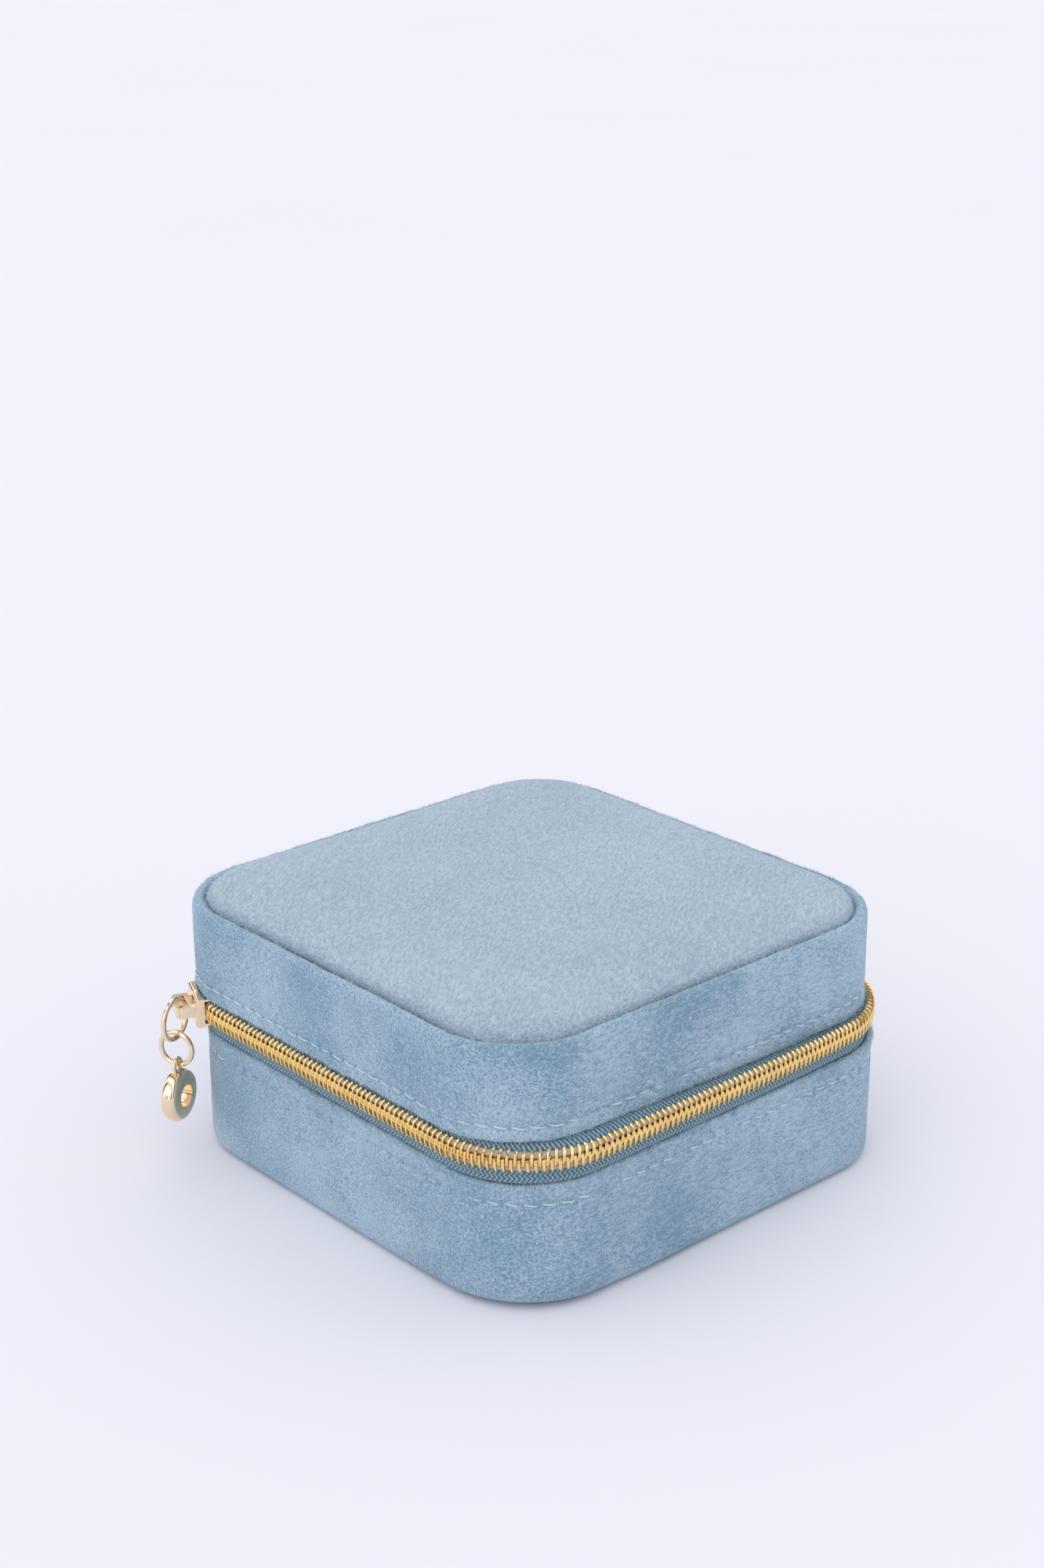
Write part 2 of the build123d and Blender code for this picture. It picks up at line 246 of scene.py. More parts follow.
def sweep(name, outline, gap=0.0, cells=32, corner_cells=16):
    """Carries a closed outline of (inset, height) points round the case.

    It is drawn at mid-back, pushed along each straight and spun round each corner. With a
    gap, it starts and stops that far from mid-back and its two ends are closed.
    """
    deselect()
    bpy.ops.mesh.primitive_circle_add(vertices=len(outline), radius=MM, fill_type="NOTHING")
    piece = begin(name)
    for vertex, (inset, height) in zip(piece.data.vertices, outline):
        vertex.co = (-gap, base_high.y - inset, height)
    bpy.ops.object.mode_set(mode="EDIT")
    bpy.ops.mesh.select_mode(type="EDGE")
    bpy.ops.mesh.select_all(action="SELECT")
    if gap:
        bpy.ops.mesh.edge_face_add()
    last = (gap - ARC, 0)
    runs = [last, (0, -ARC), (0, -ARC), (ARC, 0), (ARC, 0), (0, ARC), (0, ARC), last]
    centres = [(-ARC, ARC), (-ARC, -ARC), (ARC, -ARC), (ARC, ARC)]
    for number, (dx, dy) in enumerate(runs):
        bpy.ops.mesh.extrude_edges_move(TRANSFORM_OT_translate={"value": (dx, dy, 0)})
        if number % 2 == 0:
            x, y = centres[number // 2]
            bpy.ops.mesh.spin(steps=corner_cells, angle=-pi / 2, center=(x, y, 0), axis=(0, 0, 1))
    if gap:
        bpy.ops.mesh.edge_face_add()
    pick(edges=lambda edge: edge.calc_length() > 0.9 * ARC)
    bpy.ops.mesh.subdivide(number_cuts=cells - 1)
    settle(merge=0.01 * MM)
    return piece


def pad(name, outline, inner, cells=8):
    """A flat closed form: an outline swept round the case, open at that inset, with its top
    and bottom filled across."""
    piece = sweep(name, outline, cells=cells, corner_cells=10)
    bpy.ops.object.mode_set(mode="EDIT")
    pick(faces=lambda face: all(track(vertex.co)[1] > inner - 0.01 * MM for vertex in face.verts))
    bpy.ops.mesh.delete(type="FACE")
    settle(fill=True)
    return piece


def remesh(piece, voxel):
    take(piece)
    piece.data.remesh_voxel_size = voxel
    bpy.ops.object.voxel_remesh()


def inflate(piece, pressure, cap, held):
    """Swells a closed pad as cloth, held fast where the test says, by no more than the cap."""
    take(piece)
    group = piece.vertex_groups.new(name="sewn")
    group.add([vertex.index for vertex in piece.data.vertices if held(vertex.co)], 1.0, "REPLACE")
    rest = [vertex.co.copy() for vertex in piece.data.vertices]
    cloth = piece.modifiers.new("Cloth", "CLOTH")
    cloth.settings.use_pressure = True
    cloth.settings.uniform_pressure_force = pressure
    cloth.settings.vertex_group_mass = group.name
    cloth.settings.effector_weights.gravity = 0
    for moment in range(1, CLOTH_FRAMES + 1):
        bpy.context.scene.frame_set(moment)
    bpy.ops.object.modifier_apply(modifier=cloth.name)
    bpy.context.scene.frame_set(1)
    for vertex, start in zip(piece.data.vertices, rest):
        move = vertex.co - start
        if move.length > cap:
            vertex.co = start + move * (cap / move.length)
    piece.vertex_groups.clear()


def subdivide(piece, levels=1):
    modifier = piece.modifiers.new("Subdivision", "SUBSURF")
    modifier.levels = modifier.render_levels = levels
    apply_all(piece)


def press(piece, rule, skew=SQUARE):
    """Moves each point outwards and up by what the rule says for (station, inset, height)."""
    for vertex in piece.data.vertices:
        station, inset, outward = track(vertex.co)
        out, up = rule(station, inset, vertex.co.z)
        vertex.co += outward * out + Vector((0, 0, up)) + skew


def lay_threads(piece):
    """A UV map in metres: along the case and up, so that a weave follows the piece."""
    layer = piece.data.uv_layers.new(name="thread")
    for face in piece.data.polygons:
        stations = [track(piece.data.vertices[corner].co)[0] for corner in face.vertices]
        wraps = max(stations) - min(stations) > AROUND / 2
        for loop, station in zip(face.loop_indices, stations):
            height = piece.data.vertices[piece.data.loops[loop].vertex_index].co.z
            layer.data[loop].uv = (station + AROUND * (wraps and station < AROUND / 2), height)


def trim(piece, start, end):
    """Cuts away what lies outside two stations and closes the cut ends."""
    take(piece)
    bpy.ops.object.mode_set(mode="EDIT")
    pick(faces=lambda face: not start < track(face.calc_center_median())[0] < end)
    bpy.ops.mesh.delete(type="FACE")
    settle(fill=True)


def tube(name, points, radius, swell=()):
    """A short smooth wire through given points, as a mesh; swell thickens single points."""
    deselect()
    bpy.ops.curve.primitive_nurbs_path_add()
    wire = bpy.context.object
    spline = wire.data.splines[0]
    spline.points.add(len(points) - len(spline.points))
    for number, (knot, point) in enumerate(zip(spline.points, points)):
        knot.co = (*point, 1)
        knot.radius = dict(swell).get(number, 1.0)
    spline.order_u = 3
    spline.use_endpoint_u = True
    wire.data.resolution_u = 1
    wire.data.bevel_depth = radius
    wire.data.bevel_resolution = 1
    wire.data.use_fill_caps = True
    bpy.ops.object.convert(target="MESH")
    piece = begin(name)
    bpy.ops.object.mode_set(mode="EDIT")
    settle(merge=0.001 * MM)
    return piece


def repeat(name, pattern, places):
    """One piece from a copy of a small pattern piece at each place. The pattern is used up."""
    points, faces = [], []
    corners = [vertex.co.copy() for vertex in pattern.data.vertices]
    for place in places:
        first = len(points)
        points += [place @ corner for corner in corners]
        faces += [[first + index for index in face.vertices] for face in pattern.data.polygons]
    mesh = bpy.data.meshes.new(name)
    mesh.from_pydata(points, [], faces)
    piece = bpy.data.objects.new(name, mesh)
    bpy.context.scene.collection.objects.link(piece)
    bpy.data.objects.remove(pattern)
    smooth(piece)
    return piece


def finish_piece(piece, look, body, slot, *nodes):
    """Gives a finished piece its material and the body that it rides on, and hides the frame's
    nodes that it stands for. The slot is not used.
    """
    piece.data.materials.clear()
    piece.data.materials.append(look)
    if body:
        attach(piece, body)
    if nodes:
        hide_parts(*nodes)


# ======== finishes
class Wire:
    """A socket of a finish's nodes that takes Python's operators."""

    def __init__(self, finish, socket):
        self.finish = finish
        self.socket = socket

    def maths(self, operation, *values):
        return self.finish.node("ShaderNodeMath", {"operation": operation}, dict(enumerate(values)))

    def __add__(self, other):
        return self.maths("ADD", self, other)

    def __sub__(self, other):
        return self.maths("SUBTRACT", self, other)

    def __mul__(self, other):
        return self.maths("MULTIPLY", self, other)

    def sine(self):
        return self.maths("SINE", self)

    def zigzag(self, width):
        return self.maths("PINGPONG", self, width)

    def between(self, low, high):
        """0 at low, 1 at high and smooth in between; low may be the larger."""
        settings = {"interpolation_type": "SMOOTHSTEP"}
        return self.finish.node("ShaderNodeMapRange", settings, {0: self, 1: low, 2: high})

    __radd__ = __add__
    __rmul__ = __mul__


class Finish:
    """A material under way. Constants go straight on the shader's sockets."""

    def __init__(self, name, **constants):
        self.material = bpy.data.materials.new(name)
        self.material.use_nodes = True
        self.tree = self.material.node_tree
        self.shader = self.tree.nodes["Principled BSDF"]
        for socket, value in constants.items():
            self.shader.inputs[socket.replace("_", " ")].default_value = value

    def node(self, kind, settings, values, out=0):
        node = self.tree.nodes.new(kind)
        for name, value in settings.items():
            setattr(node, name, value)
        for socket, value in values.items():
            self.feed(node.inputs[socket], value)
        return Wire(self, node.outputs[out])

    def feed(self, socket, value):
        if isinstance(value, Wire):
            self.tree.links.new(value.socket, socket)
        else:
            socket.default_value = value

    def object_place(self):
        return self.node("ShaderNodeTexCoord", {}, {}, out="Object")

    def turned(self, place, turn, stretch):
        """Turned coordinates in which a pattern is drawn out that many times along its X."""
        values = {0: place, "Rotation": turn, "Scale": (stretch, 1, 1)}
        return self.node("ShaderNodeMapping", {"vector_type": "TEXTURE"}, values)

    def noise(self, place, size, detail=2.0, rough=0.5):
        values = {"Vector": place, "Scale": 1 / size, "Detail": detail, "Roughness": rough}
        return self.node("ShaderNodeTexNoise", {}, values)

    def blend(self, share, first, second):
        settings = {"data_type": "RGBA"}
        return self.node("ShaderNodeMix", settings, {0: share, 6: first, 7: second}, out=2)

    def colour(self, value):
        self.feed(self.shader.inputs["Base Color"], value)

    def roughness(self, value):
        self.feed(self.shader.inputs["Roughness"], value)

    def bump(self, height, depth, strength=1.0):
        values = {"Height": height, "Distance": depth, "Strength": strength}
        self.feed(self.shader.inputs["Normal"], self.node("ShaderNodeBump", {}, values))


def velvet(name, deep, pale, nap=0.0, patches=0.5, streak=0.35, tufts=0.7, mottling=0.3):
    """Short-pile velvet: brushed patches, nap streaks that lean one way, and single tufts."""
    made = Finish(
        name,
        Roughness=0.92,
        Sheen_Weight=0.35,
        Sheen_Roughness=0.55,
        Sheen_Tint=(0.72, 0.84, 0.95, 1),
        Specular_IOR_Level=0.15,
    )
    place = made.object_place()
    brushed = made.noise(place, 22 * MM, 2.5)
    mottle = made.noise(place, 3.2 * MM, 3)
    lying = made.turned(place, (0, 0, nap), 3.2)
    fibre = made.noise(lying, 0.5 * MM, 2.5, 0.6)
    tuft = made.noise(place, 0.34 * MM, 1)
    tone = 0.5 + (brushed - 0.5) * patches + (mottle - 0.5) * mottling
    tone = tone + (fibre - 0.5) * streak * 2 + (tuft - 0.5) * tufts
    made.colour(made.blend(tone.between(0.05, 0.95), deep, pale))
    made.bump(fibre * 0.7 + tuft * 0.5 + mottle * (mottling * 0.5), 0.34 * MM, 0.9)
    return made.material


def woven_tape():
    """Zipper tape: herringbone of fine ribs that turn back every few threads."""
    made = Finish("woven_tape", Roughness=0.75, Sheen_Weight=0.2, Specular_IOR_Level=0.3)
    along = made.node("ShaderNodeUVMap", {"uv_map": "thread"}, {})
    u, v = [made.node("ShaderNodeSeparateXYZ", {}, {0: along}, out=axis) for axis in "XY"]
    slant = v.zigzag(0.62 * MM)
    rib = ((u + slant * 1.1) * (tau / (0.85 * MM))).sine()
    thread = ((v - u * 0.3) * (tau / (0.3 * MM))).sine()
    fuzz = made.noise(made.object_place(), 0.25 * MM, 2)
    raised = rib * 0.5 + thread * 0.18 + (fuzz - 0.5) * 0.8 + 0.5
    deep, pale = (0.055, 0.13, 0.18, 1), (0.32, 0.48, 0.58, 1)
    made.colour(made.blend(raised.between(0.1, 1.05), deep, pale))
    made.bump(raised, 0.16 * MM, 0.9)
    return made.material


def plated(name, colour, dark, roughness):
    """Polished plating with the faint waviness and fine scratches of small castings."""
    made = Finish(name, Metallic=1.0, Specular_IOR_Level=0.6)
    place = made.object_place()
    wave = made.noise(place, 2.5 * MM, 2)
    worn = made.noise(made.turned(place, (0.5, 0.3, 0.8), 8), 0.15 * MM, 2)
    made.colour(made.blend((wave - 0.5) * 0.9 + worn * 0.35, colour, dark))
    made.roughness(roughness + (worn - 0.5) * 0.1)
    made.bump(wave + worn * 0.05, 0.04 * MM, 0.4)
    return made.material


def thread(name, deep, pale):
    """Twisted thread: fine slanting plies and a little fuzz."""
    made = Finish(name, Roughness=0.7, Sheen_Weight=0.3, Specular_IOR_Level=0.3)
    place = made.object_place()
    plies = made.noise(made.turned(place, (0.3, 0.8, 0.5), 2.5), 0.22 * MM, 1)
    fuzz = made.noise(place, 0.12 * MM, 2)
    made.colour(made.blend(plies * 0.7 + fuzz * 0.4, deep, pale))
    made.bump(plies + fuzz * 0.4, 0.08 * MM, 0.7)
    return made.material


def greyboard():
    """Raw board: grey-brown pulp with darker flecks and pressed fibres."""
    made = Finish("greyboard", Roughness=0.95, Specular_IOR_Level=0.2)
    place = made.object_place()
    pulp = made.noise(place, 1.2 * MM, 6, 0.65)
    fibre = made.noise(made.turned(place, (0, 0, 0.4), 6.5), 0.5 * MM, 3)
    fleck = made.noise(place, 0.7 * MM, 1).between(0.66, 0.72)
    board = made.blend(pulp * 0.6 + fibre * 0.4, (0.20, 0.18, 0.155, 1), (0.46, 0.43, 0.38, 1))
    made.colour(made.blend(fleck * 0.7, board, (0.08, 0.07, 0.06, 1)))
    made.bump(pulp + fibre * 0.5, 0.1 * MM, 0.5)
    return made.material


def foam():
    """White wadding: fine open cells."""
    made = Finish("foam", Roughness=0.9, Sheen_Weight=0.2)
    place = made.object_place()
    cells = made.node("ShaderNodeTexVoronoi", {}, {"Vector": place, "Scale": 1 / (0.8 * MM)})
    soft = made.noise(place, 4 * MM, 3)
    made.colour(made.blend(cells * 0.5 + soft * 0.4, (0.62, 0.60, 0.55, 1), (0.93, 0.92, 0.88, 1)))
    made.bump(cells, 0.2 * MM, 0.7)
    return made.material


def silvered_glass():
    """Mirror: silvered back, with a breath of dust on the glass."""
    made = Finish("silvered_glass", Metallic=1.0)
    place = made.object_place()
    dust = made.noise(place, 0.3 * MM, 2).between(0.62, 0.75)
    haze = made.noise(place, 15 * MM, 3)
    made.colour(made.blend(dust * 0.25, (0.90, 0.92, 0.93, 1), (0.75, 0.76, 0.78, 1)))
    made.roughness(0.02 + haze * 0.03 + dust * 0.15)
    return made.material


# The top panel's velvet: the bands' cloth drawn paler and greyer, its own colour plus painted light
# on the top face, which takes the most light.
LID_VELVET_WITH_PAINTED_LIGHT = velvet(
    "lid_velvet", (0.235, 0.335, 0.42, 1), (0.49, 0.585, 0.67, 1), radians(35), 0.3, 0.6, 0.7, 0.1
)
BAND_VELVET = velvet(
    "band_velvet", (0.16, 0.28, 0.38, 1), (0.42, 0.55, 0.66, 1), radians(8), 1.15, 0.6, 1.3, 0.2
)
# The tufts are drawn paler than the velvet they stand on: painted light on the fibre tips, making
# up for the tufts' own shading.
PILE_TIPS_PAINTED_LIGHT = velvet("pile_tips_painted_light", (0.30, 0.43, 0.53, 1), (0.66, 0.77, 0.86, 1))
LINING_VELVET = velvet("lining_velvet", (0.24, 0.38, 0.48, 1), (0.50, 0.63, 0.73, 1), 0.4, 0.5)
TAPE = woven_tape()
GOLD = plated("pale_gold", (0.96, 0.78, 0.56, 1), (0.80, 0.56, 0.34, 1), 0.13)
COIL_GOLD = plated("coil_gold", (1.0, 0.74, 0.30, 1), (0.72, 0.42, 0.12, 1), 0.24)
SEWING = thread("sewing_thread", (0.34, 0.47, 0.57, 1), (0.74, 0.83, 0.90, 1))
CORD = thread("coil_cord", (0.26, 0.21, 0.19, 1), (0.62, 0.56, 0.54, 1))
BOARD = greyboard()
FOAM = foam()
MIRROR = silvered_glass()


# ======== velvet bands
def stitch_furrow(station, height, row):
    """How far the velvet is drawn in beside a row of stitches, deepest at each needle hole."""
    hole = (0.5 + 0.5 * cos(tau * station / (AROUND / STITCH_COUNT))) ** 4
    return FURROW * (0.35 + hole) * exp(-(((height - row) / FURROW_WIDTH) ** 2))


def lid_band():
    """The lid's velvet band, folded under at its hem and rolled in at the rim seam."""
    low, rim = lid_low.z, lid_high.z
    seam = 2.25 * MM
    top = 1.25 * MM
    roll = 2.1 * MM
    ledge = seam + 2 * MM
    outline = oval(HEM, low + HEM, HEM, HEM, 0, -180, 8)
    outline += wall_line(0, low + HEM, LID_STITCH - NEEDLE_ZONE, 0.6 * MM)
    outline += wall_line(0, LID_STITCH - NEEDLE_ZONE, LID_STITCH + NEEDLE_ZONE, 0.27 * MM)
    outline += wall_line(0, LID_STITCH + NEEDLE_ZONE, rim - roll, 1.3 * MM)
    outline += oval(top, rim - roll, top, roll, 180, 90, 8)
    outline += oval(top, rim - 1.1 * MM, seam - top, 1.1 * MM, 75, 0, 5)
    outline += [(seam + 0.02 * MM, rim - 1.32 * MM), (ledge, rim - 1.33 * MM)]
    outline += [(ledge, rim - 1.43 * MM), (CLOTH + 0.1 * MM, rim - 1.45 * MM)]
    outline += wall_line(CLOTH, rim - 1.5 * MM, low + HEM, 4 * MM)
    piece = sweep("lid_velvet_band", outline, **BAND_CELLS)

    def rule(station, inset, height):
        face = 1 - min(1, inset / CLOTH)
        out = face * 0.14 * MM * wobble(station, height, 9 * MM, 3)
        out += face * 0.22 * MM * wobble(station, height, 30 * MM, 8)
        out -= face * stitch_furrow(station, height, LID_STITCH)
        top = max(0, (height - rim + roll) / roll)
        out += top * 0.16 * MM * wobble(station, height, 2.6 * MM, 5)
        lift = top * 0.16 * MM * wobble(station, height, 4 * MM, 6)
        hem = max(0, 1 - (height - low) / (2.2 * MM))
        lift += hem * 0.28 * MM * wobble(station, 0, 7 * MM, 1)
        lift += hem * 0.14 * MM * wobble(station, 0, 1.7 * MM, 2)
        out += hem * face * (0.22 + 0.2 * wobble(station, 0, 2.2 * MM, 4)) * MM
        return out, lift - hem_drop(station, height)

    press(piece, rule, SKEW)
    smooth(piece, 80)
    finish_piece(piece, BAND_VELVET, "lid", "velvet", "lid_side_band")


def base_band():
    """The base's velvet band, folded over at its top hem and turned in under the bottom."""
    top = base_high.z
    foot = 2.5 * MM
    lip = 4.0 * MM
    outline = oval(HEM, top - HEM, HEM, HEM, 0, 180, 8)
    outline += wall_line(0, top - HEM, BASE_STITCH + NEEDLE_ZONE, 0.6 * MM)
    outline += wall_line(0, BASE_STITCH + NEEDLE_ZONE, BASE_STITCH - NEEDLE_ZONE, 0.27 * MM)
    outline += wall_line(0, BASE_STITCH - NEEDLE_ZONE, foot, 1.5 * MM)
    outline += oval(foot, foot, foot, foot, 180, 270, 8)
    outline += [(lip - 0.3 * MM, 0), (lip, 0.3 * MM), (lip, CLOTH)]
    outline += oval(foot, foot, foot - CLOTH, foot - CLOTH, 270, 180, 4)
    outline += wall_line(CLOTH, foot, top - HEM, 4 * MM)
    piece = sweep("base_velvet_band", outline, **BAND_CELLS)

    def rule(station, inset, height):
        face = 1 - min(1, inset / CLOTH)
        out = face * 0.16 * MM * wobble(station, height, 10 * MM, 13)
        out += face * 0.25 * MM * wobble(station, height, 34 * MM, 18)
        out -= face * stitch_furrow(station, height, BASE_STITCH)
        hem = max(0, 1 - (top - height) / (2.4 * MM))
        lift = hem * 0.3 * MM * wobble(station, 0, 6 * MM, 11)
        lift += hem * 0.14 * MM * wobble(station, 0, 1.8 * MM, 12)
        out += hem * face * (0.2 + 0.2 * wobble(station, 0, 2.4 * MM, 14)) * MM
        worn = hump(station, NEAR_CORNER, 17 * MM)
        out -= worn * 1.3 * MM * max(0, 1 - height / (6 * MM)) ** 2
        lift += worn * 0.5 * MM * max(0, 1 - height / (3 * MM))
        return out, lift

    press(piece, rule)
    smooth(piece, 80)
    finish_piece(piece, BAND_VELVET, "base", "velvet", "base_side_band")


def stitching(name, row, body, skew, depth):
    """A row of short stitches that dive into the velvet at each needle hole."""
    half = 1.3 * MM
    rise = [(-half, -0.5 * MM), (-half * 0.92, -0.12 * MM), (-half * 0.4, 0.1 * MM)]
    fall = [(-along, out) for along, out in reversed(rise)]
    stitch = tube("stitch", [(along, out, 0) for along, out in rise + fall], 0.15 * MM)
    step = AROUND / STITCH_COUNT
    places = []
    for number in range(STITCH_COUNT):
        station = (number + 0.5) * step
        lean = radians(8 + 9 * wobble(station, 0, 2.5 * MM, 21))
        sink = depth - 0.16 * MM * wobble(station, 0, 14 * MM, 25)
        sink -= 0.24 * MM * wobble(station, 0, 2.7 * MM, 27)
        height = row + 0.3 * MM * wobble(station, 0, 2.3 * MM, 23)
        if body == "lid":
            height -= hem_drop(station, row)
            sink += 0.1 * MM * hump(station, MID_FRONT + 15 * MM, 38 * MM)
        places.append(placing(station, -sink, height, skew, lean))
    piece = repeat(name, stitch, places)
    finish_piece(piece, SEWING, body, "velvet")


lid_band()
base_band()
stitching("lid_stitching", LID_STITCH, "lid", SKEW, 0.18 * MM)
stitching("base_stitching", BASE_STITCH, "base", SQUARE, 0.33 * MM)


# ======== padded lid panel
def crowned(low, edge, top, reach, fall):
    """Outline of a pillow: up its sewn side and over the top, as far in as reach."""
    steps = 14
    side = low + 0.35 * MM
    points = [(reach, low), (edge, low), (edge, side)]
    for step in range(1, steps + 1):
        run = (reach - edge) * (step / steps) ** 1.8
        points.append((edge + run, side + (top - low - 0.35 * MM) * (1 - exp(-run / fall))))
    return points


def top_panel():
    """The lid's padded velvet panel, sewn down round its edge and swollen by its foam."""
    low = lid_high.z - 1.3 * MM
    swell = 0.9 * MM
    outline = crowned(low, PANEL_INSET, crown - swell, REACH, 1.8 * MM)
    piece = pad("top_panel", outline, REACH)
    remesh(piece, 1.3 * MM)
    inflate(piece, 1.2, swell, lambda point: point.z < low + 1.0 * MM)

    def rule(station, inset, height):
        edge = exp(-(inset - PANEL_INSET) / (1.6 * MM))
        slack = hump(station, MID_LEFT, 30 * MM) + 0.3 * hump(station, 0, 30 * MM)
        out = -edge * (0.12 + slack * (0.75 + 0.3 * wobble(station, 0, 9 * MM, 31))) * MM
        out += edge * 0.26 * MM * wobble(station, height, 2.2 * MM, 33)
        return out, 0.12 * MM * wobble(station, inset, 16 * MM, 35) * (1 - edge)

    press(piece, rule, SKEW)
    subdivide(piece)
    bpy.ops.object.mode_set(mode="EDIT")
    pick(faces=lambda face: face.normal.z < -0.7 and face.calc_center_median().z < low + 0.5 * MM)
    bpy.ops.mesh.delete(type="FACE")
    bpy.ops.object.mode_set(mode="OBJECT")
    solid = piece.modifiers.new("Solidify", "SOLIDIFY")
    solid.thickness = 0.8 * MM
    solid.offset = -1
    apply_all(piece)
    smooth(piece, 80)
    # The panel takes the paler velvet, with painted light on its top.
    finish_piece(piece, LID_VELVET_WITH_PAINTED_LIGHT, "lid", "velvet", "lid_top_panel")


def foam_pad():
    """The foam under the lid's panel, a little smaller all over."""
    low = lid_high.z - 1.2 * MM
    edge = PANEL_INSET + 1.5 * MM
    piece = pad("lid_foam", crowned(low, edge, crown - 1.7 * MM, REACH, 2.4 * MM), REACH)
    remesh(piece, 1.6 * MM)

    def rule(station, inset, height):
        return 0, 0.1 * MM * wobble(station, height, 4 * MM, 41)

    press(piece, rule, SKEW)
    smooth(piece, 80)
    finish_piece(piece, FOAM, "lid", "foam", "lid_foam_pad")


top_panel()
foam_pad()


# ======== pile along the seams
def pile(name, source, count, body, zone, lean):
    """Single tufts standing on a velvet piece where zone holds, so that its edge looks soft.

    Zone tests a face's middle, its inset and its normal. Lean turns the outward direction
    into the way that a tuft is pushed over.
    """
    skew = SKEW if body == "lid" else SQUARE
    deselect()
    bpy.ops.mesh.primitive_cone_add(
        vertices=3, radius1=0.06 * MM, depth=0.85 * MM, location=(0, 0, 0.3 * MM)
    )
    tuft = begin("tuft")
    chance = random.Random(name)
    mesh = bpy.data.objects[source].data
    ground = []
    for face in mesh.polygons:
        if zone(face.center, track(face.center - skew)[1], face.normal):
            ground.append(face)
    places = []
    for face in chance.choices(ground, [face.area for face in ground], k=count):
        shares = [chance.random() for corner in face.vertices]
        root = SQUARE.copy()
        for corner, share in zip(face.vertices, shares):
            root += mesh.vertices[corner].co * (share / sum(shares))
        stray = Vector([chance.gauss(0, 0.3) for axis in "XYZ"])
        stand = face.normal + lean(track(root - skew)[2]) + stray
        turned = stand.to_track_quat("Z", "Y").to_matrix().to_4x4()
        places.append(Matrix.Translation(root) @ turned @ Matrix.Scale(chance.uniform(0.6, 1.1), 4))
    piece = repeat(name, tuft, places)
    # The tufts take the paler velvet: painted light on their tips.
    finish_piece(piece, PILE_TIPS_PAINTED_LIGHT, body, "velvet")


def on_shoulder(point, inset, normal):
    return 0.12 < normal.z < 0.75 and point.z > lid_high.z - 0.4 * MM


def on_rim(point, inset, normal):
    return point.z > lid_high.z - 0.8 * MM and inset < 2.2 * MM and normal.z > 0.2


def on_lid_hem(point, inset, normal):
    return point.z < lid_low.z + 0.9 * MM and inset < 0.9 * MM


def on_base_hem(point, inset, normal):
    return point.z > base_high.z - 0.9 * MM and inset < 0.9 * MM


UP = Vector((0, 0, 1))
pile("panel_edge_pile", "top_panel", 3000, "lid", on_shoulder, lambda out: out * 1.3 - UP * 0.5)
pile("lid_rim_pile", "lid_velvet_band", 2600, "lid", on_rim, lambda out: out * -0.8)
pile("lid_hem_pile", "lid_velvet_band", 3200, "lid", on_lid_hem, lambda out: UP * -1.4)
pile("base_hem_pile", "base_velvet_band", 3200, "base", on_base_hem, lambda out: UP * 1.2)


# ======== zipper
def ribbon(centre, thickness):
    """Closed outline of a strip of that thickness along (inset, height) points."""
    front = [(inset - thickness / 2, height) for inset, height in centre]
    back = [(inset + thickness / 2, height) for inset, height in reversed(centre)]
    return front + back


def tape(name, sign, band_edge, body, node):
    """A woven tape: sewn in behind a band's hem, then out and along under the coil.

    Sign is 1 for the upper tape and -1 for the lower one.
    """
    sewn, flat = 1.65 * MM, 0.1 * MM
    out_of_hem = band_edge + sign * 0.05 * MM
    centre = [(sewn, band_edge + sign * rise * MM) for rise in (4.9, 2.5, 0.5)]
    centre += [(sewn - 0.25 * MM, out_of_hem), (0.55 * MM, band_edge - sign * 0.35 * MM)]
    centre += [(flat + 0.05 * MM, band_edge - sign * 0.75 * MM)]
    start = band_edge - sign * 1.0 * MM
    stop = ZIP + sign * 0.08 * MM
    centre += [(flat, start + (stop - start) * step / 8) for step in range(9)]
    piece = sweep(name, ribbon(centre, TAPE_THICK), gap=HINGE)
    lay_threads(piece)
    turned_out = out_of_hem - sign * 0.8 * MM
    for vertex in piece.data.vertices:
        station, _, outward = track(vertex.co)
        height = vertex.co.z
        loose = exp(-(((height - ZIP) * sign - 3.2 * MM) / (1.2 * MM)) ** 2)
        vertex.co += outward * loose * 0.22 * MM * wobble(station, height, 6 * MM, 51)
        share = clamp((height - turned_out) * sign / (0.85 * MM))
        vertex.co += drawn(station) * (1 - share) + (SKEW if sign > 0 else SQUARE) * share
        if sign > 0:
            vertex.co.z -= hem_drop(station, height) * clamp((height - ZIP) / (2.2 * MM))
    smooth(piece, 60)
    finish_piece(piece, TAPE, body, "zip_tape", node)
    wide = max(NARROW_CUT, abs(centre[0][1] - centre[-1][1]) + 2 * MM)


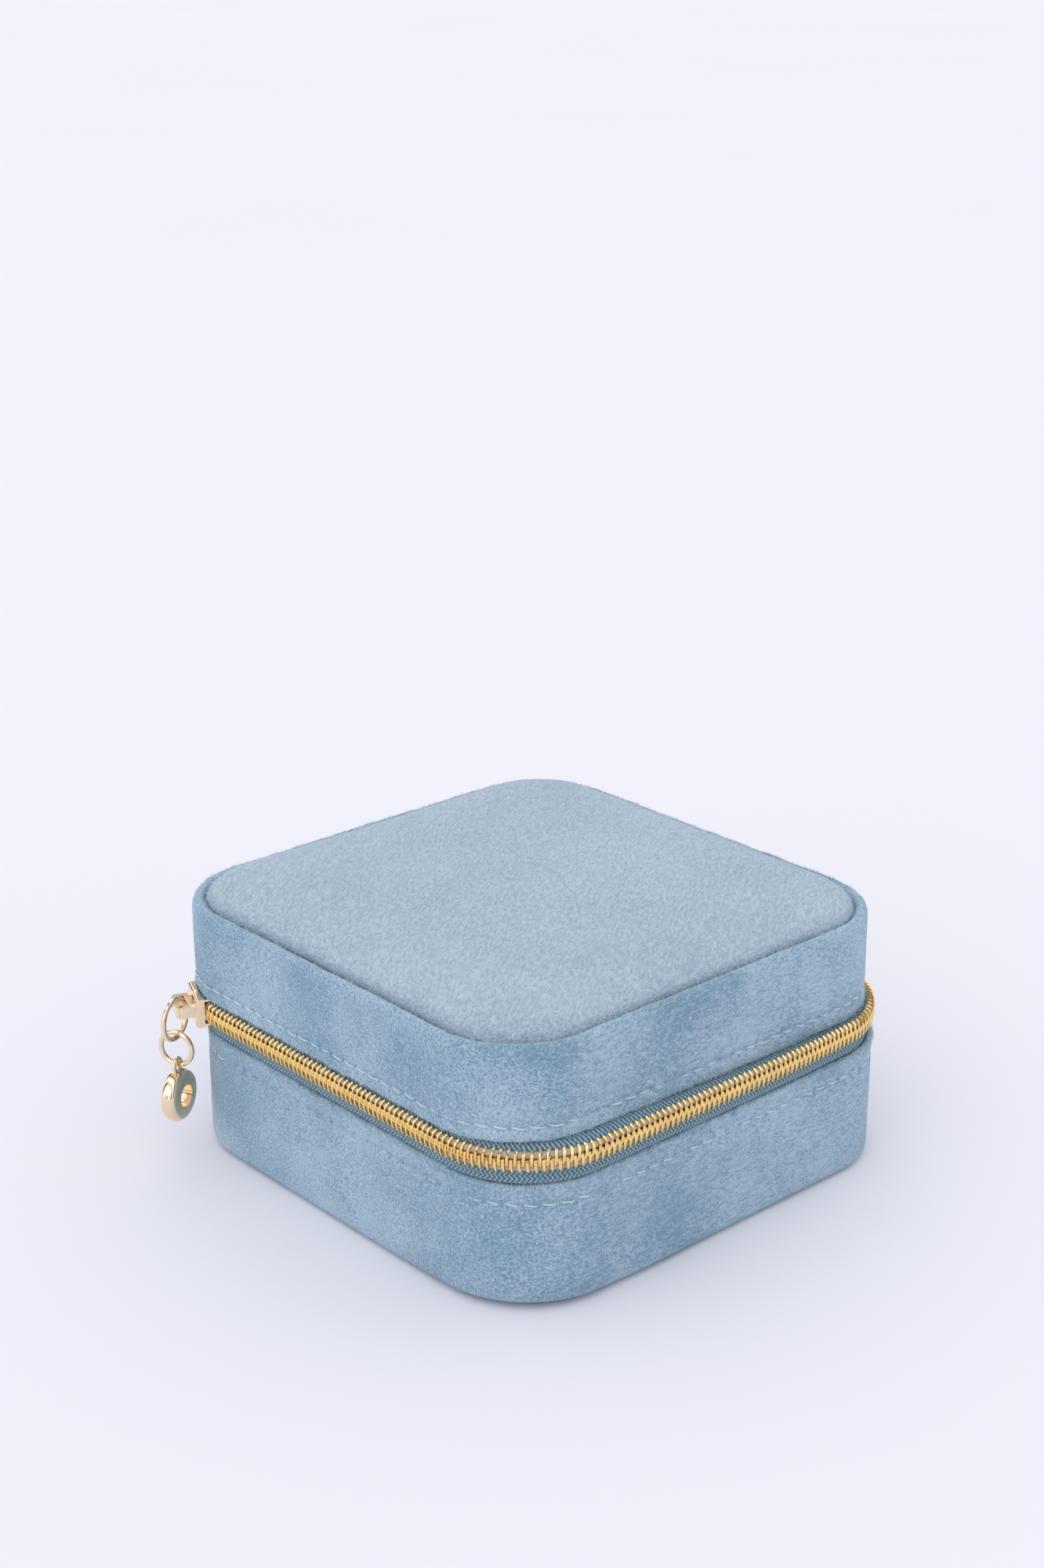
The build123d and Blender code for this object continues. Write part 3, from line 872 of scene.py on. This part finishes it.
def coil_row(name, sign, body, node):
    """One row of the coil: a wire loop at each pitch, with its head past the meeting line."""
    edge = ROW_REACH - WIRE
    front = ROW_PROUD - WIRE
    loop = [
        (0.12 * MM, 0.30 * MM, sign * 1.1 * MM),
        (0.20 * MM, 0.42 * MM, sign * (edge + 0.05 * MM)),
        (0.20 * MM, 1.20 * MM, sign * (edge + 0.18 * MM)),
        (0.08 * MM, front + 0.12 * MM, sign * (edge - 0.55 * MM)),
        (0.00 * MM, front + 0.02 * MM, sign * 0.45 * MM),
        (-0.04 * MM, front - 0.02 * MM, sign * -0.22 * MM),
        (-0.06 * MM, front - 0.30 * MM, sign * -0.50 * MM),
        (-0.10 * MM, 0.70 * MM, sign * -0.34 * MM),
        (-0.16 * MM, 0.42 * MM, sign * 0.3 * MM),
    ]
    turn = tube("turn", loop, WIRE, swell=[(5, 1.25), (6, 1.3)])
    count = int((CHAIN_END - CHAIN_START) / PITCH)
    places = []
    for number in range(count):
        station = CHAIN_START + (number + 0.75 - sign * 0.25) * PITCH
        parted = sign * 0.6 * MM * (station < CHAIN_START + 3.6 * MM)
        places.append(placing(station, 0, ZIP + parted, drawn(station)))
    piece = repeat(name, turn, places)
    finish_piece(piece, COIL_GOLD, body, "gold_coil", node)


def coil_cord(name, sign, body):
    """The cord that runs inside one row of the coil, seen between its turns."""
    centre = ZIP + sign * 1.12 * MM
    piece = sweep(name, oval(-0.72 * MM, centre, 0.62 * MM, 0.6 * MM, 0, 324, 9), gap=HINGE)
    trim(piece, CHAIN_START, CHAIN_END)

    def rule(station, inset, height):
        ply = cos(tau * (station / PITCH - 0.25 * sign))
        return (-0.10 * MM * ply, 0) if inset < -0.8 * MM else (0, 0)

    press(piece, rule)
    for vertex in piece.data.vertices:
        vertex.co += drawn(track(vertex.co)[0])
    smooth(piece, 60)
    finish_piece(piece, CORD, body, "zip_tape")


tape("lower_tape", -1, base_high.z, "base", "lower_zip_tape")
tape("upper_tape", 1, lid_low.z, "lid", "upper_zip_tape")
coil_row("lower_coil", -1, "base", "lower_zip_coil")
coil_row("upper_coil", 1, "lid", "upper_zip_coil")
coil_cord("lower_coil_cord", -1, "base")
coil_cord("upper_coil_cord", 1, "lid")


# ======== fabric hinge
def hinge_strip(name, node, look, slot, start, end, crease):
    """A strip across the back that bends between base and lid."""
    low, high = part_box(node)
    deselect()
    bpy.ops.mesh.primitive_grid_add(x_subdivisions=60, y_subdivisions=40, size=1)
    piece = begin(name)
    front = low.y + 0.3 * MM
    back = high.y - 0.3 * MM
    for vertex in piece.data.vertices:
        x = vertex.co.x * (high.x - low.x)
        z = low.z + (vertex.co.y + 0.5) * (high.z - low.z)
        share = clamp((z - start) / (end - start))
        y = front + (back - front) * share * share * (3 - 2 * share)
        uneven = noise.noise(Vector((x, z * 3, 2)) / (5 * MM))
        vertex.co = (x, y + sin(pi * share) * crease * (0.6 + 0.4 * uneven), z)
    solid = piece.modifiers.new("Solidify", "SOLIDIFY")
    solid.thickness = TAPE_THICK
    solid.offset = 0
    apply_all(piece)
    bpy.ops.object.mode_set(mode="EDIT")
    settle()
    smooth(piece, 60)
    finish_piece(piece, look, None, slot, node)
    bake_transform(piece)


outer_bend = (base_high.z + 0.3 * MM, lid_low.z - 0.3 * MM)
inner_low, inner_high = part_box("hinge_lining")
inner_bend = (inner_low.z + 0.6 * MM, inner_high.z - 0.6 * MM)
hinge_strip("hinge_cloth", "hinge_spine", BAND_VELVET, "velvet", *outer_bend, 0.5 * MM)
hinge_strip("hinge_lining_cloth", "hinge_lining", LINING_VELVET, "lining_velvet", *inner_bend, 0)


# ======== linings and boards inside
def lining(name, node, low_round, high_round, body, skew, flange):
    """A velvet lining wall, with a flange at that height over the frame's raw edge.

    A round of 1 rolls the low or the high edge over, and 0 cuts it square.
    """
    low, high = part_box(node)
    outer = base_high.x - high.x + skew.x
    wall = 1.05 * MM
    half = wall / 2
    square = 1e-6
    low_roll, high_roll = half * low_round, half * high_round
    over = flange + FLANGE_THICK
    outline = oval(outer + half, low.z + low_roll, half, low_roll + square, 0, -180, 6)
    outline += wall_line(outer, low.z + half, flange, 1.5 * MM)
    outline += [(outer, flange), (FLANGE_INSET, flange), (FLANGE_INSET, over), (outer, over)]
    outline += wall_line(outer, over, high.z - half, 1.5 * MM)
    outline += oval(outer + half, high.z - high_roll, half, high_roll + square, 180, 0, 6)
    outline += wall_line(outer + wall, high.z - half, low.z + half, 1.5 * MM)
    piece = sweep(name, outline, cells=16, corner_cells=12)

    def rule(station, inset, height):
        face = clamp((inset - outer) / wall)
        return -0.12 * MM * face * wobble(station, height, 11 * MM, low.z * 900), 0

    press(piece, rule, skew)
    smooth(piece, 60)
    finish_piece(piece, LINING_VELVET, body, "lining_velvet", node)


def flat_pad(name, node, look, slot, body, skew, soft_top, unevenness=0.0):
    """A velvet-covered card: flat, with its edge rounded over on the side that shows."""
    low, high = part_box(node)
    edge = base_high.x - high.x + skew.x
    turn = 0.5 * MM
    if soft_top:
        hidden, shown = low.z, high.z
        rounded = oval(edge + turn, shown - turn, turn, turn, 180, 90, 5)
    else:
        hidden, shown = high.z, low.z
        rounded = oval(edge + turn, shown + turn, turn, turn, 180, 270, 5)
    outline = [(REACH, hidden), (edge, hidden)] + rounded + [(REACH, shown)]
    piece = pad(name, outline, REACH, cells=32)
    if unevenness:
        remesh(piece, 1.2 * MM)

    def rule(station, inset, height):
        near = 1 - min(1, abs(height - shown) / (0.6 * MM))
        return 0, near * unevenness * wobble(station, inset * 2, 13 * MM, 61)

    press(piece, rule, skew)
    smooth(piece, 60)
    finish_piece(piece, look, body, slot, node)


def cushion(name, node, body, round_top, pressure, voxel, cap):
    """A velvet-wrapped board or foam roll inside the base, cut to the bay's round corners.

    A round_top of 1 makes a half-round top. The cap is how far the wrap may swell.
    """
    low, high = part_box(node)
    size = high - low
    deselect()
    bpy.ops.mesh.primitive_cube_add(size=1, location=(low + high) / 2)
    piece = bpy.context.object
    piece.scale = size - Vector((1, 1, 1)) * 2 * cap
    piece = begin(name)
    long_axis = 0 if size.x > size.y else 1
    across = min(size.x, size.y)
    bpy.ops.object.mode_set(mode="EDIT")

    def along_top(edge):
        ends = [vertex.co for vertex in edge.verts]
        level = min(end.z for end in ends) > (low.z + high.z) / 2
        return level and abs(ends[0][long_axis] - ends[1][long_axis]) > across

    pick(edges=along_top)
    bpy.ops.mesh.bevel(offset=round_top * across / 2 - cap, segments=8, clamp_overlap=True)
    pick(edges=lambda edge: edge.is_boundary or edge.calc_face_angle(0) > radians(60))
    bpy.ops.mesh.bevel(offset=0.5 * MM, segments=3, clamp_overlap=True)
    bpy.ops.object.mode_set(mode="OBJECT")
    remesh(piece, voxel)
    bay = base_high.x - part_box("base_floor_lining")[1].x
    for vertex in piece.data.vertices:
        _, inset, outward = track(vertex.co)
        if vertex.co.y > ARC and inset < bay + 0.25 * MM:
            vertex.co += outward * (inset - bay - 0.25 * MM)
    inflate(piece, pressure, cap, lambda point: point.z < low.z + 1.2 * MM)
    for vertex in piece.data.vertices:
        vertex.co += vertex.normal * 0.1 * MM * noise.noise(vertex.co / (6 * MM))
    relax = piece.modifiers.new("Smooth", "SMOOTH")
    relax.iterations = 2
    apply_all(piece)
    subdivide(piece)
    smooth(piece, 80)
    finish_piece(piece, LINING_VELVET, body, "lining_velvet", node)


def mirror_surround():
    """The covered card round the mirror: a swept ring, drawn in to its smaller window."""
    low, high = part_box("mirror_frame")
    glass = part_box("mirror")
    outer = base_high.x - high.x + SKEW.x
    span = 6 * MM
    window_half, window_corner = 31 * MM, 5 * MM
    seat = glass[0].z - 0.05 * MM
    turn = 0.55 * MM
    outline = [(outer + 0.7 * span, high.z), (outer, high.z)]
    outline += wall_line(outer, high.z, low.z + turn, 0.7 * MM)
    outline += oval(outer + turn, low.z + turn, turn, turn, 180, 270, 5)
    outline += [(outer + span * share, low.z) for share in (0.25, 0.4, 0.55, 0.7, 0.85)]
    outline += oval(outer + span - turn / 2, low.z + turn, turn / 2, turn, 270, 360, 5)
    outline += [(outer + span, seat), (outer + 0.78 * span, seat)]
    piece = sweep("mirror_surround", outline, cells=16, corner_cells=10)
    outer_corner = CORNER - outer
    for vertex in piece.data.vertices:
        station, inset, outward = track(vertex.co)
        share = (inset - outer) / span
        core = vertex.co - outward * (CORNER - inset)
        scale = 1 + share * ((window_half - window_corner) / ARC - 1)
        radius = outer_corner + share * (window_corner - outer_corner)
        bulge = 0.1 * MM * wobble(station, inset, 12 * MM, 71) * (vertex.co.z < low.z + turn)
        centre = Vector((core.x * scale, core.y * scale, vertex.co.z - bulge))
        vertex.co = centre + outward * radius + SKEW
    smooth(piece, 60)
    finish_piece(piece, LINING_VELVET, "lid", "lining_velvet", "mirror_frame")


over_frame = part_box("base_side_frame")[1].z + 0.03 * MM
under_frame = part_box("lid_side_frame")[0].z - 0.38 * MM
lining("base_lining_wall", "base_lining", 0, 1, "base", SQUARE, over_frame)
lining("lid_lining_wall", "lid_lining", 1, 0, "lid", SKEW, under_frame)
velvet_pad = (LINING_VELVET, "lining_velvet")
flat_pad("base_floor", "base_floor_lining", *velvet_pad, "base", SQUARE, True, 0.12 * MM)
flat_pad("lid_ceiling", "lid_ceiling_lining", *velvet_pad, "lid", SKEW, False)
flat_pad("base_underside", "base_bottom_panel", BAND_VELVET, "velvet", "base", SQUARE, False)
cushion("tray_partition", "partition_wall", "base", 0.7, 0.4, 0.8 * MM, 0.1 * MM)
cushion("tray_divider_board", "tray_divider", "divider", 0.7, 0.4, 0.7 * MM, 0.08 * MM)
for number in range(1, 5):
    cushion(f"roll_{number}", f"ring_roll_{number}", "base", 1.0, 0.8, 1.1 * MM, 0.22 * MM)
mirror_surround()


# ======== camera, light and floor
ROOM_LIGHT, ROOM_STRENGTH = (0.862, 0.866, 0.905, 1), 0.96
BOX_GAP, BOX_LIGHT = (0.075, 0.078, 0.078, 1), (1.25, 1.22, 1.2, 1)
BACKDROP = (0.855, 0.863, 0.945, 1)
FLOOR_TONES = (0.82, 0.82, 0.875, 1), (0.84, 0.84, 0.895, 1)
LAMP_COLOUR = (1.0, 0.99, 0.97)
# Each lamp: where it shines from, how wide it looks in degrees, and its power.
LAMPS = [("window", (-1.3, -0.35, 1.5), 70, 0.62), ("overhead", (0.3, 0.5, 2.0), 100, 0.33)]
CAMERA_PLACE = (-0.28923, -0.31663, 0.23304)
CAMERA_TURN = (69.49, 0, -41.99)
CAMERA_LENS = 57.2


def studio():
    """A pale floor under broad soft light."""
    deselect()
    bpy.ops.mesh.primitive_plane_add(size=12)
    floor = begin("floor")
    made = Finish("pale_floor", Roughness=0.85, Specular_IOR_Level=0.1)
    tint = made.noise(made.object_place(), 0.3, 2)
    made.colour(made.blend(tint, *FLOOR_TONES))
    floor.data.materials.append(made.material)

    world = bpy.data.worlds.new("studio")
    bpy.context.scene.world = world
    world.use_nodes = True
    room = world.node_tree.nodes
    link = world.node_tree.links.new
    plain = room["Background"]
    plain.inputs["Color"].default_value = ROOM_LIGHT
    plain.inputs["Strength"].default_value = ROOM_STRENGTH
    # What polished metal mirrors: bright soft boxes with darker gaps between them.
    boxes = room.new("ShaderNodeBackground")
    direction = room.new("ShaderNodeTexCoord")
    waves = room.new("ShaderNodeTexWave")
    waves.inputs["Scale"].default_value = 0.55
    waves.inputs["Distortion"].default_value = 3.0
    waves.inputs["Detail"].default_value = 0.0
    tones = room.new("ShaderNodeValToRGB")
    for stop, place, tone in zip(tones.color_ramp.elements, (0.3, 0.6), (BOX_GAP, BOX_LIGHT)):
        stop.position = place
        stop.color = tone
    link(direction.outputs["Generated"], waves.inputs["Vector"])
    link(waves.outputs["Fac"], tones.inputs["Fac"])
    link(tones.outputs["Color"], boxes.inputs["Color"])
    # What the camera sees past the floor's far edge.
    backdrop = room.new("ShaderNodeBackground")
    backdrop.inputs["Color"].default_value = BACKDROP
    ray = room.new("ShaderNodeLightPath")
    seen = plain
    for kind, other in (("Is Glossy Ray", boxes), ("Is Camera Ray", backdrop)):
        either = room.new("ShaderNodeMixShader")
        link(ray.outputs[kind], either.inputs["Fac"])
        link(seen.outputs[0], either.inputs[1])
        link(other.outputs[0], either.inputs[2])
        seen = either
    link(seen.outputs[0], room["World Output"].inputs["Surface"])

    for name, place, spread, power in LAMPS:
        lamp = bpy.data.lights.new(name, "SUN")
        lamp.angle = radians(spread)
        lamp.energy = power
        lamp.color = LAMP_COLOUR
        holder = bpy.data.objects.new(name, lamp)
        holder.location = place
        holder.rotation_euler = (-Vector(place)).to_track_quat("-Z", "Y").to_euler()
        bpy.context.scene.collection.objects.link(holder)

    camera = bpy.data.objects.new("camera", bpy.data.cameras.new("camera"))
    camera.location = CAMERA_PLACE
    camera.rotation_euler = [radians(angle) for angle in CAMERA_TURN]
    camera.data.lens = CAMERA_LENS
    camera.data.sensor_width = 36
    bpy.context.scene.collection.objects.link(camera)
    bpy.context.scene.camera = camera
    bpy.context.scene.view_settings.view_transform = "Standard"


studio()

# ======== the frame's own nodes
LOOKS = {
    "velvet": BAND_VELVET,
    "lining_velvet": LINING_VELVET,
    "greyboard": BOARD,
    "foam": FOAM,
    "zip_tape": TAPE,
    "gold_coil": COIL_GOLD,
    "gold_metal": GOLD,
    "mirror_glass": MIRROR,
}
for part in frame["record"]["subparts"]:
    node = frame["nodes"][part["node"]]
    node.data.materials.clear()
    node.data.materials.append(LOOKS[part["material_slot"]])
